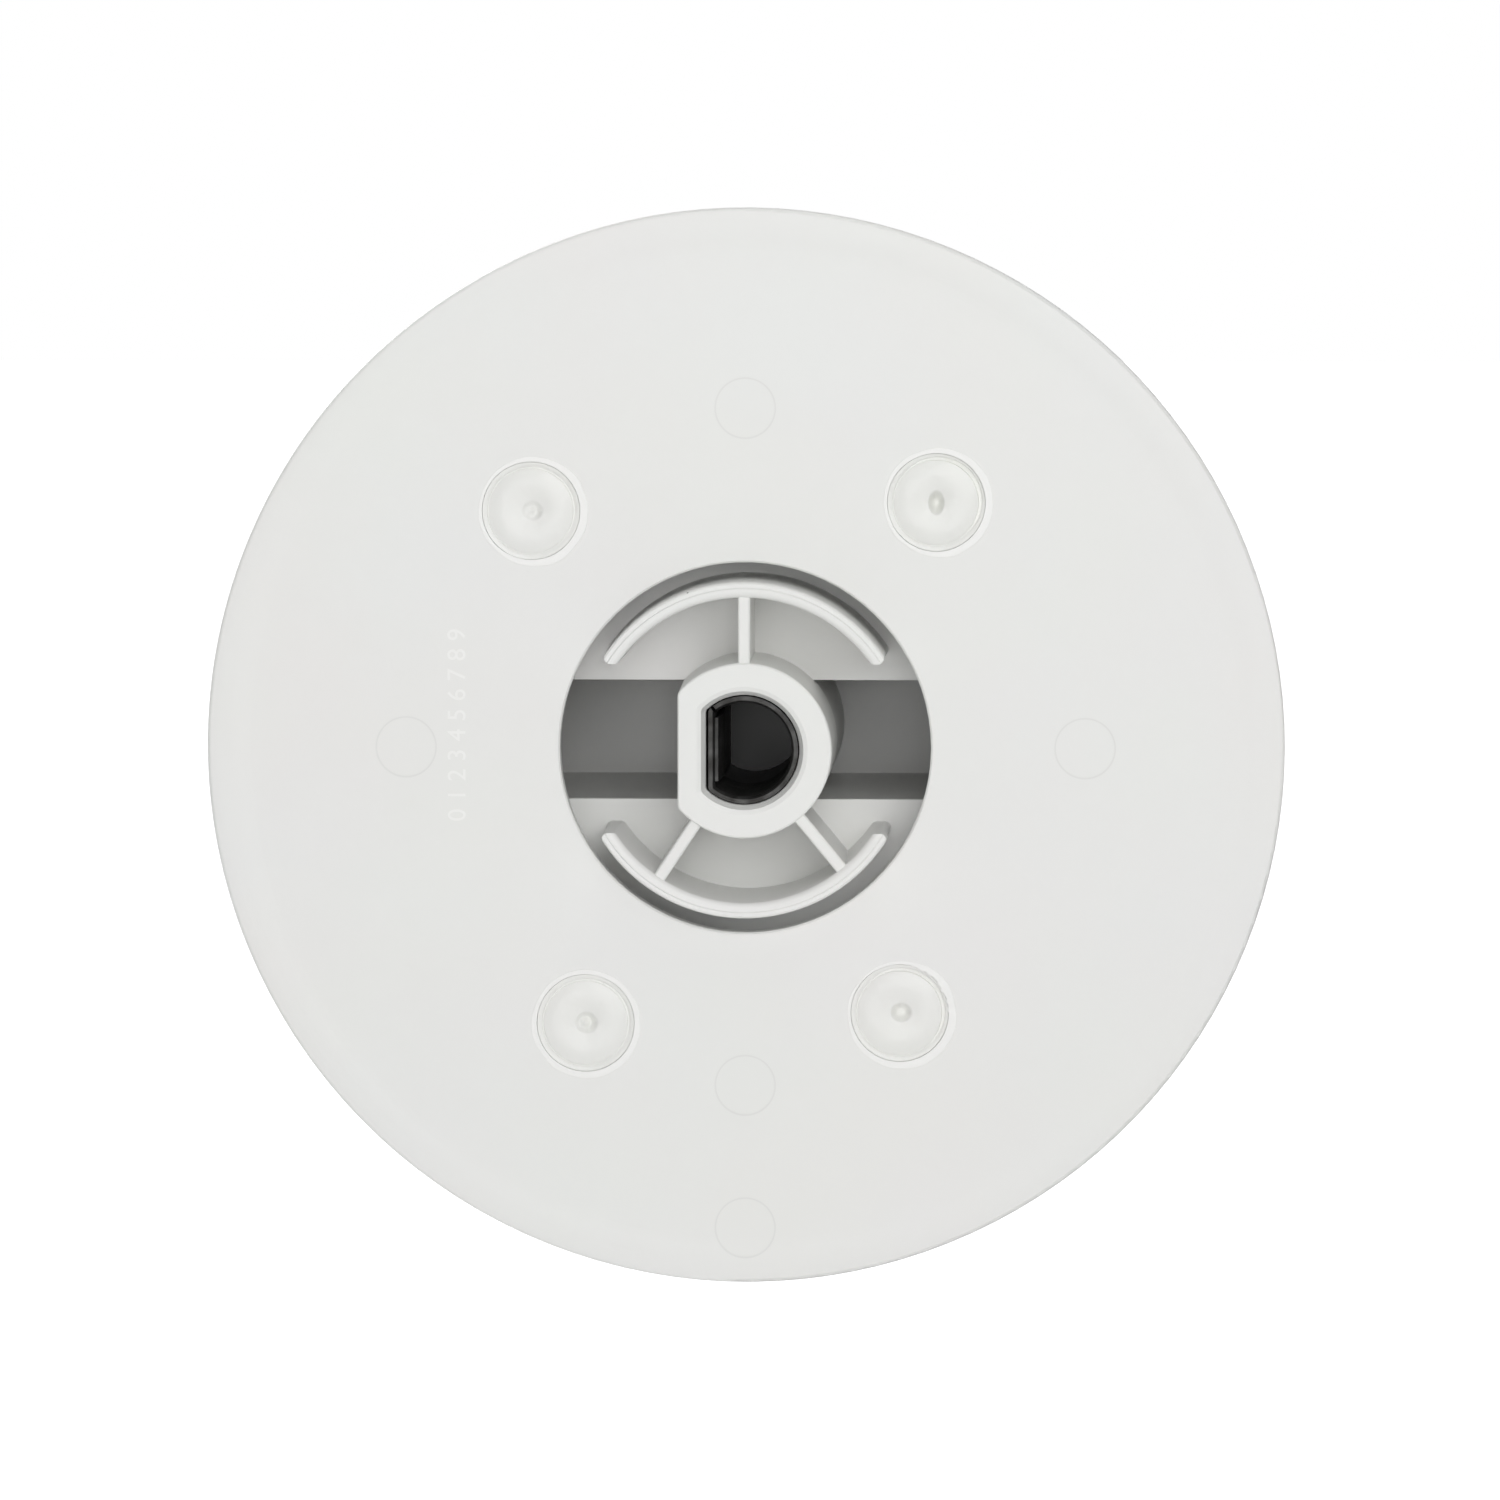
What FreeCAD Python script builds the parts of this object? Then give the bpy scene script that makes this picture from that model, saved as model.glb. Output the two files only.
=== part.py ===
import FreeCAD, Part

import math
import os

from FreeCAD import Vector

# A round ABS control dial with a turning knob in its middle.
#
# Everything is drawn on the bench, face down: Z is the spin axis and +Z points to the rear, into the
# panel. Z = 0 is the plane in which the dial's rear rim meets the panel. X runs across the hollow of
# the finger bar and Y runs square to it. place() then stands each part up in the part's own frame,
# where the spin axis is Y, +Y is the rear and +Z is up.

# ---- Driving dimensions, mm ----

SHAFT_R = 3.175            # round of the 1/4 inch control shaft
SHAFT_FLAT = 1.585         # its flat, from the shaft's axis

DIAL_R = 36.5              # over the rim
DIAL_HOLE_R = 12.58        # the plate's central hole
HOLE_EDGE = 0.12           # its broken rear edge
PLATE_T = 1.6
RIM_R = 35.3               # crest of the rim's bead
RIM_ROLL = 8.0             # roundness of the bead
RIM_ROOT_R = 34.3          # where the bead runs out into its fillet
RIM_FILLET_R = 8.0         # concave fillet between the bead and the plate's flat rear face
RIM_EDGE = 0.25            # rounding of the outer edge
CREST_LAND = 0.3           # half width of the flat land on the crest

POST_PLACES = ((21.07, 52.2), (21.61, 132.1), (21.68, 240.0), (20.85, 300.2))    # from the spin axis
POST_R = 1.3
POST_HOLE_R = 1.36
BOSS_R = 2.4
WELL_R = 3.32
WELL_DEPTH = 0.5
HEAD_R = 2.86              # their melted rosette heads
HEAD_EDGE_DROP = 0.3
HEAD_CREST_R = 1.7
HEAD_CREST_RISE = 0.05
HEAD_PIT_R = 0.5
HEAD_PIT_FLOOR = 0.16      # above the well's floor
HEAD_PIT_FLARE = 0.12

PIN_R = 2.03               # ejector pin marks: (distance from the axis, direction in degrees)
PIN_MARKS = ((23.0, 0), (23.0, 90), (23.0, 180), (23.0, 270), (32.75, 270))
PIN_DEPTH = 0.06

FACE_R = 36.3              # the conical front shell
FACE_WALL = 1.6
FACE_HOLE_R = 13.2
FACE_LAND_R = 21.0         # where the cone meets the flat land round the knob
FACE_SHOULDER_R = 35.9     # where the cone starts, inside the rim
FACE_LAND_Z = -6.8
FACE_SHOULDER_Z = -2.8

MARK_COUNT = 60
MARK_EVERY = 5             # one mark in five is a long one
MARK_OUTER_R = 34.6
MARK_SHORT = 1.5
MARK_LONG = 2.6
MARK_W = 0.32
MARK_W_LONG = 0.6
MARK_T = 0.12

HUB_TIP_Z = 2.56
HUB_R = 5.92               # at the tip; the draft widens it by HUB_DRAFT at its foot
HUB_FLAT = 4.47
HUB_CORNER = 0.6
HUB_DRAFT = 0.25
TIP_BREAK = 0.1            # broken edges of the hub, collars and ribs

FLANGE_R = 19.0
FLANGE_REAR_Z = -7.2
FLANGE_T = 2.0
FLANGE_EDGE = 0.9

BAR_TIP_Z = -24.8
BAR_HALF = 5.9             # half width of the bar where it leaves the flange
BAR_WAIST = 5.2
BAR_END_R = 18.6
BAR_ROUND = 1.2
BAR_FOOT_FLARE = 0.8
BAR_END_DRAFT = 0.8
HOLLOW_HALF = 4.1          # half width of the hollow at its mouth
HOLLOW_FLOOR_HALF = 3.6
HOLLOW_END_R = 16.9
BAR_ROOF = 1.7

COLLAR_R = 11.38           # two collar arcs that centre the knob in the dial's hole
COLLAR_WALL = 1.05
COLLAR_DRAFT = 0.12        # each side
COLLAR_END_TOP = 5.85      # the arcs stop at these heights above and below the axis
COLLAR_END_BOTTOM = 5.6
COLLAR_END_ROUND = 0.4
COLLAR_STEP_W = 0.36       # a low step along the tip
COLLAR_STEP_H = 0.1

RIB_W = 0.8
RIB_ANGLES = (90.0, 236.5, 309.5)
RIB_TOP_Z = 2.3

SLEEVE_TOP_Z = 1.8
SLEEVE_FOOT_Z = -9.4
SLEEVE_R = 3.64
SLEEVE_WALL = 0.44
SLEEVE_FLAT = 2.42         # outside of its flat, from the axis
SLEEVE_CORNER = 0.5
SLEEVE_SLIT = 0.22
SLEEVE_SLIT_AT = 127       # direction of the slit, degrees
SLEEVE_LEAD = 0.16         # chamfer inside its mouth
BORE_R = 3.72
BORE_FLAT = 2.6
BORE_CORNER = 0.4
BORE_LEAD = 0.5            # flare of its mouth, with a softer corner
BORE_LEAD_LOWER = 0.3      # as far as the broken edge of the tip, where it steepens
BORE_LEAD_H = 0.9
BORE_LEAD_CORNER = 0.5
CORE_R = 3.3               # narrower core of the bore below the sleeve
CORE_FLAT = 1.75
CORE_CORNER = 0.3
CORE_FOOT_Z = -21.0

LEAF_GAP = 0.01            # between the leaf's ends and the sleeve
LEAF_T = 0.2
LEAF_HALF_W = 2.15
LEAF_BOW = 0.2
LEAF_TOP_Z = 1.5
LEAF_FOOT_Z = -9.2

POINTER_W = 1.7
POINTER_FROM = 6.2
POINTER_TO = 16.4
POINTER_DEPTH = 0.7
POINTER_PROUD = 0.12

CAVITY_DIGIT_X = -22.3     # the moulder's cavity number, a plain 1, on the plate's rear
CAVITY_DIGIT_Y = -3.9
CAVITY_DIGIT_H = 1.7
MARKING_W = 0.22
MARKING_H = 0.05
CAVITY_RING_Y = 6.0
CAVITY_RING_R = 1.75

AXIS = Vector(0, 0, 1)
ORIGIN = Vector(0, 0, 0)
OVER = 1.0                 # how far a cutting tool runs past the wall that it cuts
ROOT = 0.5                 # how far one limb of a moulding runs into the next


# ---- Worked out from the driving dimensions ----

def bead_z(r):
    """Height of the rim's bead at radius r, outside the land on its crest."""
    out = abs(r - RIM_R) - CREST_LAND
    return math.sqrt(RIM_ROLL ** 2 - out ** 2) - RIM_ROLL


RIM_SLOPE = math.asin((RIM_R - CREST_LAND - RIM_ROOT_R) / RIM_ROLL)
FLAT_R = RIM_ROOT_R - RIM_FILLET_R * math.sin(RIM_SLOPE)
PLATE_REAR_Z = bead_z(RIM_ROOT_R) - RIM_FILLET_R * (1 - math.cos(RIM_SLOPE))
PLATE_FRONT_Z = PLATE_REAR_Z - PLATE_T
WELL_FLOOR_Z = PLATE_REAR_Z - WELL_DEPTH
CONE_SLOPE = (FACE_SHOULDER_Z - FACE_LAND_Z) / (FACE_SHOULDER_R - FACE_LAND_R)
CONE_WALL = FACE_WALL / math.cos(math.atan(CONE_SLOPE))
FLANGE_FRONT_Z = FLANGE_REAR_Z - FLANGE_T
HOLLOW_FLOOR_Z = BAR_TIP_Z + BAR_ROOF
SLEEVE_INNER_R = SLEEVE_R - SLEEVE_WALL


# ---- Drawing helpers ----

def polar(r, degrees, z=0.0):
    """The point at distance r from the axis in the given direction."""
    angle = math.radians(degrees)
    return Vector(r * math.cos(angle), r * math.sin(angle), z)


def line(a, b):
    return Part.LineSegment(a, b).toShape()


def arc(a, mid, b):
    return Part.Arc(a, mid, b).toShape()


def turned(edges):
    """A solid of revolution round the axis, from the edges of a closed outline in the XZ plane."""
    return Part.Face(Part.Wire(edges)).revolve(ORIGIN, AXIS, 360)


def at(r, z):
    """A point of a turned part's outline."""
    return Vector(r, 0, z)


def lines_through(points):
    """The straight edges of the closed outline through the points."""
    return [line(a, b) for a, b in zip(points, points[1:] + points[:1])]


def tube(outer_r, inner_r, z0, z1):
    """A round tube from z0 up to z1."""
    outer = Part.makeCylinder(outer_r, z1 - z0, Vector(0, 0, z0))
    inner = Part.makeCylinder(inner_r, z1 - z0, Vector(0, 0, z0))
    return outer.cut(inner)


def d_outline(r, flat, corner, z):
    """A round outline with one flat at x = -flat, its two corners rounded."""
    cy = math.sqrt((r - corner) ** 2 - (flat - corner) ** 2)
    centre = Vector(corner - flat, cy, z)
    stretch = r / (r - corner)
    on_round = Vector(centre.x * stretch, centre.y * stretch, z)
    on_flat = Vector(-flat, cy, z)
    half = math.atan2(on_round.y - centre.y, on_round.x - centre.x)
    bend = (half + math.pi) / 2
    between = centre + Vector(corner * math.cos(bend), corner * math.sin(bend), 0)

    def mirror(p):
        return Vector(p.x, -p.y, p.z)

    edges = [
        arc(mirror(on_round), Vector(r, 0, z), on_round),
        arc(on_round, between, on_flat),
        line(on_flat, mirror(on_flat)),
        arc(mirror(on_flat), mirror(between), mirror(on_round)),
    ]
    return Part.Wire(edges)


def d_prism(r, flat, corner, z0, z1):
    """A straight D-shaped prism from z0 up to z1."""
    return Part.Face(d_outline(r, flat, corner, z0)).extrude(Vector(0, 0, z1 - z0))


def post_points(z):
    return [polar(radius, angle, z) for radius, angle in POST_PLACES]


def place(shape):
    """Stands a part up: rear to +Y, top to +Z."""
    stood = shape.copy()
    stood.rotate(ORIGIN, Vector(0, 1, 1), 180)
    return stood


def export(node, shape):
    stood = place(shape)
    stood.exportStep("parts/" + node + ".step")
    print(node, "solids", len(stood.Solids), "valid", stood.isValid(), "volume", round(stood.Volume, 2))


# ---- Dial body ----

def cavity_marks():
    """The raised cavity number and the plain ring above it, on the plate's rear face."""
    z = PLATE_REAR_Z - MARKING_H
    rise = 2 * MARKING_H
    stem = Part.makeBox(CAVITY_DIGIT_H, MARKING_W, rise)
    stem.translate(Vector(CAVITY_DIGIT_X - CAVITY_DIGIT_H / 2, CAVITY_DIGIT_Y - MARKING_W / 2, z))
    flag = Part.makeBox(MARKING_W, 2 * MARKING_W, rise)
    flag.translate(Vector(CAVITY_DIGIT_X - CAVITY_DIGIT_H / 2, CAVITY_DIGIT_Y - 2 * MARKING_W, z))
    ring = tube(CAVITY_RING_R, CAVITY_RING_R - MARKING_W, z, z + rise)
    ring.translate(Vector(CAVITY_DIGIT_X, CAVITY_RING_Y, 0))
    return [stem, flag, ring]


def plate_rear(drop):
    """The edges of the plate's rear face from its flat to the outer edge, lowered by drop."""
    half = RIM_SLOPE / 2
    inner_land_r = RIM_R - CREST_LAND
    outer_land_r = RIM_R + CREST_LAND
    rise_mid_r = (RIM_ROOT_R + inner_land_r) / 2
    edge_r = DIAL_R - RIM_EDGE
    fall_mid_r = (outer_land_r + edge_r) / 2
    bend = RIM_EDGE * (1 - math.sqrt(0.5))
    fillet_mid_z = PLATE_REAR_Z + RIM_FILLET_R * (1 - math.cos(half))
    flat_end = at(FLAT_R, PLATE_REAR_Z - drop)
    root = at(RIM_ROOT_R, bead_z(RIM_ROOT_R) - drop)
    edge = at(edge_r, bead_z(edge_r) - drop)
    return [
        arc(flat_end, at(FLAT_R + RIM_FILLET_R * math.sin(half), fillet_mid_z - drop), root),
        arc(root, at(rise_mid_r, bead_z(rise_mid_r) - drop), at(inner_land_r, -drop)),
        line(at(inner_land_r, -drop), at(outer_land_r, -drop)),
        arc(at(outer_land_r, -drop), at(fall_mid_r, bead_z(fall_mid_r) - drop), edge),
        arc(edge, at(DIAL_R - bend, edge.z - bend), at(DIAL_R, edge.z - RIM_EDGE)),
    ]


def pin_marks():
    """The shallow round marks of the ejector pins, cut to one depth below the plate's rear face."""
    side_z = bead_z(DIAL_R - RIM_EDGE) - RIM_EDGE - PIN_DEPTH
    over_rear = turned([line(at(0, PLATE_REAR_Z - PIN_DEPTH), at(FLAT_R, PLATE_REAR_Z - PIN_DEPTH))]
                       + plate_rear(PIN_DEPTH)
                       + [line(at(DIAL_R, side_z), at(DIAL_R, OVER)),
                          line(at(DIAL_R, OVER), at(0, OVER)),
                          line(at(0, OVER), at(0, PLATE_REAR_Z - PIN_DEPTH))])
    pins = [Part.makeCylinder(PIN_R, 2 * OVER, polar(r, angle, -OVER)) for r, angle in PIN_MARKS]
    return [over_rear.common(pin) for pin in pins]


def dial_back():
    """The flat moulded plate: a beaded rim, a central hole, four staking wells and moulding marks."""
    side_z = bead_z(DIAL_R - RIM_EDGE) - RIM_EDGE
    edges = plate_rear(0) + [
        line(at(DIAL_R, side_z), at(DIAL_R, PLATE_FRONT_Z)),
        line(at(DIAL_R, PLATE_FRONT_Z), at(DIAL_HOLE_R, PLATE_FRONT_Z)),
        line(at(DIAL_HOLE_R, PLATE_FRONT_Z), at(DIAL_HOLE_R, PLATE_REAR_Z - HOLE_EDGE)),
        line(at(DIAL_HOLE_R, PLATE_REAR_Z - HOLE_EDGE), at(DIAL_HOLE_R + HOLE_EDGE, PLATE_REAR_Z)),
        line(at(DIAL_HOLE_R + HOLE_EDGE, PLATE_REAR_Z), at(FLAT_R, PLATE_REAR_Z)),
    ]
    plate = turned(edges).fuse(cavity_marks())
    wells = [Part.makeCylinder(WELL_R, WELL_DEPTH + OVER, p) for p in post_points(WELL_FLOOR_Z)]
    holes = [Part.makeCylinder(POST_HOLE_R, 2 * PLATE_T, p) for p in post_points(PLATE_FRONT_Z - OVER)]
    return plate.cut(wells + holes + pin_marks())


def stake_head():
    """A post's rosette head, melted flat into its well, turned round the post's own axis."""
    pit = WELL_FLOOR_Z + HEAD_PIT_FLOOR
    inner = at(HEAD_PIT_R + HEAD_PIT_FLARE, PLATE_REAR_Z - HEAD_EDGE_DROP / 2)
    crest = at(HEAD_CREST_R, PLATE_REAR_Z + HEAD_CREST_RISE)
    edge = at(HEAD_R, PLATE_REAR_Z - HEAD_EDGE_DROP)
    edges = [
        line(at(0, WELL_FLOOR_Z), at(0, pit)),
        line(at(0, pit), at(HEAD_PIT_R, pit)),
        line(at(HEAD_PIT_R, pit), inner),
        arc(inner, crest, edge),
        line(edge, at(HEAD_R, WELL_FLOOR_Z)),
        line(at(HEAD_R, WELL_FLOOR_Z), at(0, WELL_FLOOR_Z)),
    ]
    return turned(edges)


def dial_face():
    """The conical front shell, with the four posts that pass through the plate and are staked there."""
    edge_r = FACE_R - FACE_SHOULDER_R
    bend = edge_r * (1 - math.sqrt(0.5))
    rim_inner_r = FACE_SHOULDER_R - (CONE_WALL - (PLATE_FRONT_Z - FACE_SHOULDER_Z)) / CONE_SLOPE
    edges = [
        line(at(rim_inner_r, PLATE_FRONT_Z), at(FACE_R, PLATE_FRONT_Z)),
        line(at(FACE_R, PLATE_FRONT_Z), at(FACE_R, FACE_SHOULDER_Z + edge_r)),
        arc(
            at(FACE_R, FACE_SHOULDER_Z + edge_r),
            at(FACE_R - bend, FACE_SHOULDER_Z + bend),
            at(FACE_SHOULDER_R, FACE_SHOULDER_Z),
        ),
        line(at(FACE_SHOULDER_R, FACE_SHOULDER_Z), at(FACE_LAND_R, FACE_LAND_Z)),
        line(at(FACE_LAND_R, FACE_LAND_Z), at(FACE_HOLE_R, FACE_LAND_Z)),
        line(at(FACE_HOLE_R, FACE_LAND_Z), at(FACE_HOLE_R, FACE_LAND_Z + FACE_WALL)),
        line(at(FACE_HOLE_R, FACE_LAND_Z + FACE_WALL), at(FACE_LAND_R, FACE_LAND_Z + CONE_WALL)),
        line(at(FACE_LAND_R, FACE_LAND_Z + CONE_WALL), at(rim_inner_r, PLATE_FRONT_Z)),
    ]
    shell = turned(edges)
    boss_foot = FACE_LAND_Z + FACE_WALL - ROOT
    bosses = [
        Part.makeCylinder(BOSS_R, PLATE_FRONT_Z - boss_foot, p) for p in post_points(boss_foot)
    ]
    post_h = WELL_FLOOR_Z + HEAD_PIT_FLOOR / 2 - boss_foot
    posts = [Part.makeCylinder(POST_R, post_h, p) for p in post_points(boss_foot)]
    heads = [stake_head().translated(p) for p in post_points(0)]
    return shell.fuse(bosses + posts + heads).removeSplitter()


def scale_marks():
    """Sixty printed marks on the cone, every fifth one long, as thin pads that follow the cone."""
    def cone_z(r):
        return FACE_SHOULDER_Z - (FACE_SHOULDER_R - r) * CONE_SLOPE

    inner_r = MARK_OUTER_R - MARK_LONG - OVER
    skin = turned(lines_through([
        at(MARK_OUTER_R, cone_z(MARK_OUTER_R)),
        at(MARK_OUTER_R, cone_z(MARK_OUTER_R) - MARK_T),
        at(inner_r, cone_z(inner_r) - MARK_T),
        at(inner_r, cone_z(inner_r)),
    ]))
    bars = []
    for i in range(MARK_COUNT):
        is_long = i % MARK_EVERY == 0
        length = MARK_LONG if is_long else MARK_SHORT
        width = MARK_W_LONG if is_long else MARK_W
        bar = Part.makeBox(length + OVER, width, -2 * FACE_LAND_Z)
        bar.translate(Vector(MARK_OUTER_R - length, -width / 2, 2 * FACE_LAND_Z))
        bar.rotate(ORIGIN, AXIS, i * 360 / MARK_COUNT)
        bars.append(bar)
    return Part.makeCompound([skin.common(bar).Solids[0] for bar in bars])


# ---- Knob body ----

def bar_profile(x):
    """The finger bar's section across its length, waisted for the fingers and flared at its foot."""
    foot_z = FLANGE_FRONT_Z - BAR_FOOT_FLARE
    waist_z = (foot_z + BAR_TIP_Z) / 2
    tip_z = BAR_TIP_Z + BAR_ROUND
    bend = BAR_ROUND * (1 - math.sqrt(0.5))
    flare = BAR_FOOT_FLARE * (1 - math.sqrt(0.5))

    def p(y, z):
        return Vector(x, y, z)

    def side(s):
        return [
            arc(
                p(s * (BAR_HALF + BAR_FOOT_FLARE), FLANGE_FRONT_Z),
                p(s * (BAR_HALF + flare), FLANGE_FRONT_Z - flare),
                p(s * BAR_HALF, foot_z),
            ),
            arc(p(s * BAR_HALF, foot_z), p(s * BAR_WAIST, waist_z), p(s * BAR_WAIST, tip_z)),
            arc(
                p(s * BAR_WAIST, tip_z),
                p(s * (BAR_WAIST - bend), BAR_TIP_Z + bend),
                p(s * (BAR_WAIST - BAR_ROUND), BAR_TIP_Z),
            ),
        ]

    roof = line(p(BAR_WAIST - BAR_ROUND, BAR_TIP_Z), p(BAR_ROUND - BAR_WAIST, BAR_TIP_Z))
    wide = BAR_HALF + BAR_FOOT_FLARE
    up = line(p(wide, FLANGE_FRONT_Z), p(wide, FLANGE_REAR_Z - ROOT))
    across = line(p(wide, FLANGE_REAR_Z - ROOT), p(-wide, FLANGE_REAR_Z - ROOT))
    down = line(p(-wide, FLANGE_REAR_Z - ROOT), p(-wide, FLANGE_FRONT_Z))
    return Part.Wire(Part.__sortEdges__(side(1) + side(-1) + [roof, up, across, down]))


def finger_bar():
    """The bar that the fingers turn: its section run across the knob, its ends rounded to a circle."""
    length = 2 * (BAR_END_R + OVER)
    run = Part.Face(bar_profile(-length / 2)).extrude(Vector(length, 0, 0))
    bend = BAR_ROUND * (1 - math.sqrt(0.5))
    tip_r = BAR_END_R - BAR_END_DRAFT
    ends = turned([
        line(at(0, FLANGE_REAR_Z - ROOT), at(BAR_END_R, FLANGE_REAR_Z - ROOT)),
        line(at(BAR_END_R, FLANGE_REAR_Z - ROOT), at(tip_r, BAR_TIP_Z + BAR_ROUND)),
        arc(
            at(tip_r, BAR_TIP_Z + BAR_ROUND),
            at(tip_r - bend, BAR_TIP_Z + bend),
            at(tip_r - BAR_ROUND, BAR_TIP_Z),
        ),
        line(at(tip_r - BAR_ROUND, BAR_TIP_Z), at(0, BAR_TIP_Z)),
        line(at(0, BAR_TIP_Z), at(0, FLANGE_REAR_Z - ROOT)),
    ])
    return run.common(ends)


def flange():
    """The round flange that covers the dial's hole, its front edge rolled."""
    bend = FLANGE_EDGE * (1 - math.sqrt(0.5))
    return turned([
        line(at(0, FLANGE_REAR_Z), at(FLANGE_R, FLANGE_REAR_Z)),
        line(at(FLANGE_R, FLANGE_REAR_Z), at(FLANGE_R, FLANGE_FRONT_Z + FLANGE_EDGE)),
        arc(
            at(FLANGE_R, FLANGE_FRONT_Z + FLANGE_EDGE),
            at(FLANGE_R - bend, FLANGE_FRONT_Z + bend),
            at(FLANGE_R - FLANGE_EDGE, FLANGE_FRONT_Z),
        ),
        line(at(FLANGE_R - FLANGE_EDGE, FLANGE_FRONT_Z), at(0, FLANGE_FRONT_Z)),
        line(at(0, FLANGE_FRONT_Z), at(0, FLANGE_REAR_Z)),
    ])


def bar_hollow():
    """The core that leaves the bar hollow, open to the rear through the flange, with a little draft."""
    length = 2 * (HOLLOW_END_R + OVER)
    mouth_z = FLANGE_REAR_Z + OVER

    def p(y, z):
        return Vector(-length / 2, y, z)

    run = Part.Face(Part.Wire(lines_through([
        p(-HOLLOW_HALF, mouth_z),
        p(HOLLOW_HALF, mouth_z),
        p(HOLLOW_HALF, FLANGE_REAR_Z),
        p(HOLLOW_FLOOR_HALF, HOLLOW_FLOOR_Z),
        p(-HOLLOW_FLOOR_HALF, HOLLOW_FLOOR_Z),
        p(-HOLLOW_HALF, FLANGE_REAR_Z),
    ]))).extrude(Vector(length, 0, 0))
    return run.common(Part.makeCylinder(HOLLOW_END_R, mouth_z - BAR_TIP_Z, Vector(0, 0, BAR_TIP_Z)))


def hub():
    """The D-shaped hub, drafted, from the bar's roof to its tip; inside the bar it stops at its sides."""
    whole = Part.makeLoft([
        d_outline(HUB_R + HUB_DRAFT, HUB_FLAT + HUB_DRAFT, HUB_CORNER, HOLLOW_FLOOR_Z - ROOT),
        d_outline(HUB_R, HUB_FLAT, HUB_CORNER, HUB_TIP_Z - TIP_BREAK),
        d_outline(HUB_R - TIP_BREAK, HUB_FLAT - TIP_BREAK, HUB_CORNER, HUB_TIP_Z),
    ], True, True)
    behind_h = HUB_TIP_Z + OVER - FLANGE_FRONT_Z
    behind_flange = Part.makeCylinder(FLANGE_R, behind_h, Vector(0, 0, FLANGE_FRONT_Z))
    return whole.common(finger_bar().fuse(behind_flange))


def bore():
    """The D-shaped bore: a flared mouth, the seat of the steel sleeve and a narrower core below it."""
    lead_z = HUB_TIP_Z - BORE_LEAD_H
    wide = BORE_LEAD + TIP_BREAK
    mouth = Part.makeLoft([
        d_outline(BORE_R, BORE_FLAT, BORE_CORNER, lead_z),
        d_outline(BORE_R + BORE_LEAD_LOWER, BORE_FLAT + BORE_LEAD_LOWER, BORE_LEAD_CORNER,
                  HUB_TIP_Z - TIP_BREAK),
        d_outline(BORE_R + wide, BORE_FLAT + wide, BORE_LEAD_CORNER, HUB_TIP_Z),
    ], True, True)
    above = d_prism(BORE_R + wide, BORE_FLAT + wide, BORE_LEAD_CORNER, HUB_TIP_Z, HUB_TIP_Z + OVER)
    seat = d_prism(BORE_R, BORE_FLAT, BORE_CORNER, SLEEVE_FOOT_Z, lead_z)
    core = d_prism(CORE_R, CORE_FLAT, CORE_CORNER, CORE_FOOT_Z, SLEEVE_FOOT_Z)
    return [mouth, above, seat, core]


def collars():
    """Two drafted collar arcs on the flange, with rounded ends and a low step along the tip."""
    foot_z = FLANGE_REAR_Z - ROOT
    step_r = COLLAR_R - COLLAR_STEP_W
    step_z = HUB_TIP_Z - COLLAR_STEP_H
    inner_r = COLLAR_R - COLLAR_WALL
    ring = turned(lines_through([
        at(COLLAR_R + COLLAR_DRAFT, foot_z),
        at(COLLAR_R, HUB_TIP_Z),
        at(inner_r, HUB_TIP_Z),
        at(inner_r - COLLAR_DRAFT, foot_z),
    ]))
    above_tip = turned(lines_through([
        at(COLLAR_R + OVER, step_z - TIP_BREAK - OVER),
        at(COLLAR_R - TIP_BREAK, step_z),
        at(step_r, step_z),
        at(step_r - COLLAR_STEP_H, HUB_TIP_Z),
        at(inner_r + TIP_BREAK, HUB_TIP_Z),
        at(inner_r - OVER, HUB_TIP_Z - TIP_BREAK - OVER),
        at(inner_r - OVER, HUB_TIP_Z + OVER),
        at(COLLAR_R + OVER, HUB_TIP_Z + OVER),
    ]))
    reach = COLLAR_R + OVER
    height = HUB_TIP_Z + OVER - foot_z
    upper = Part.makeBox(2 * reach, reach, height, Vector(-reach, COLLAR_END_TOP, foot_z))
    lower = Part.makeBox(2 * reach, reach, height, Vector(-reach, -COLLAR_END_BOTTOM - reach, foot_z))
    walls = []
    for half, end_y in ((upper, COLLAR_END_TOP), (lower, -COLLAR_END_BOTTOM)):
        wall = ring.common(half).Solids[0]
        corners = [
            edge for edge in wall.Edges
            if edge.Length > height / 2 and all(abs(v.Y - end_y) < 0.01 for v in edge.Vertexes)
        ]
        walls.append(wall.makeFillet(COLLAR_END_ROUND, corners).cut(above_tip))
    return walls


def ribs():
    """Three thin ribs that brace the collars to the hub."""
    start = HUB_R - ROOT
    end = COLLAR_R - COLLAR_WALL / 2
    foot_z = FLANGE_REAR_Z - ROOT
    half = RIB_W / 2

    def p(y, z):
        return Vector(start, y, z)

    section = lines_through([
        p(-half, foot_z),
        p(-half, RIB_TOP_Z - TIP_BREAK),
        p(TIP_BREAK - half, RIB_TOP_Z),
        p(half - TIP_BREAK, RIB_TOP_Z),
        p(half, RIB_TOP_Z - TIP_BREAK),
        p(half, foot_z),
    ])
    made = []
    for angle in RIB_ANGLES:
        rib = Part.Face(Part.Wire(section)).extrude(Vector(end - start, 0, 0))
        rib.rotate(ORIGIN, AXIS, angle)
        made.append(rib)
    return made


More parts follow.
